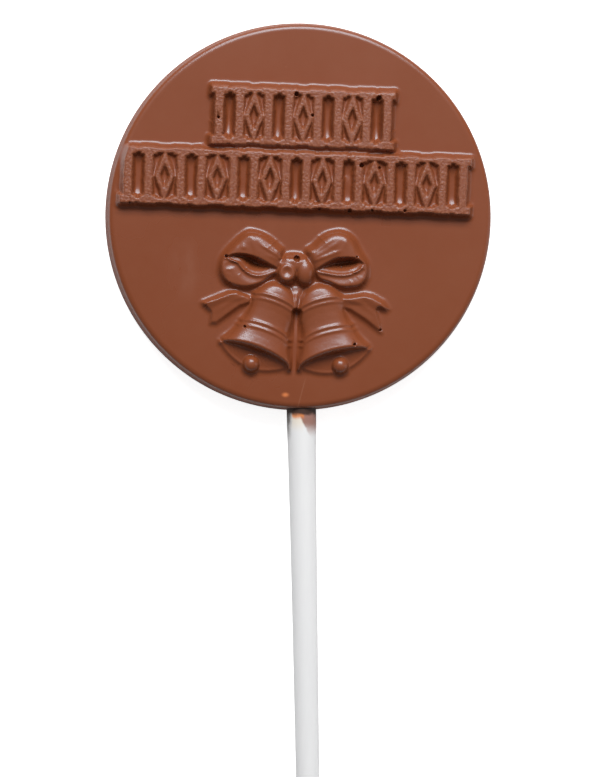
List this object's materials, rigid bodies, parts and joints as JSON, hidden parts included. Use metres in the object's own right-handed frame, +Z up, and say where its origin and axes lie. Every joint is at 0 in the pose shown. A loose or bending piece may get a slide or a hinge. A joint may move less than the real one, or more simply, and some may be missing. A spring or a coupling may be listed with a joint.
{
  "type": "chocolate lollipop",
  "caption": "Round moulded milk chocolate lollipop lying on its flat back, with an ornamental frieze, a ribbon bow and bells in relief, on a plain white stick.",
  "frame": {"origin": "middle of the disc's flat back, which lies on the ground", "axes": "+Z up through the decorated face; the stick points along -Y, turned 3 degrees towards +X; +X to the right as the face is read"},
  "size_m": [0.0658, 0.1548, 0.0093],
  "materials": {
    "milk_chocolate": "tempered milk chocolate, soft gloss",
    "white_stick": "smooth rolled white paper"
  },
  "bodies": {
    "root": {"chocolate": "milk_chocolate", "stick": "white_stick"}
  },
  "joints": []
}
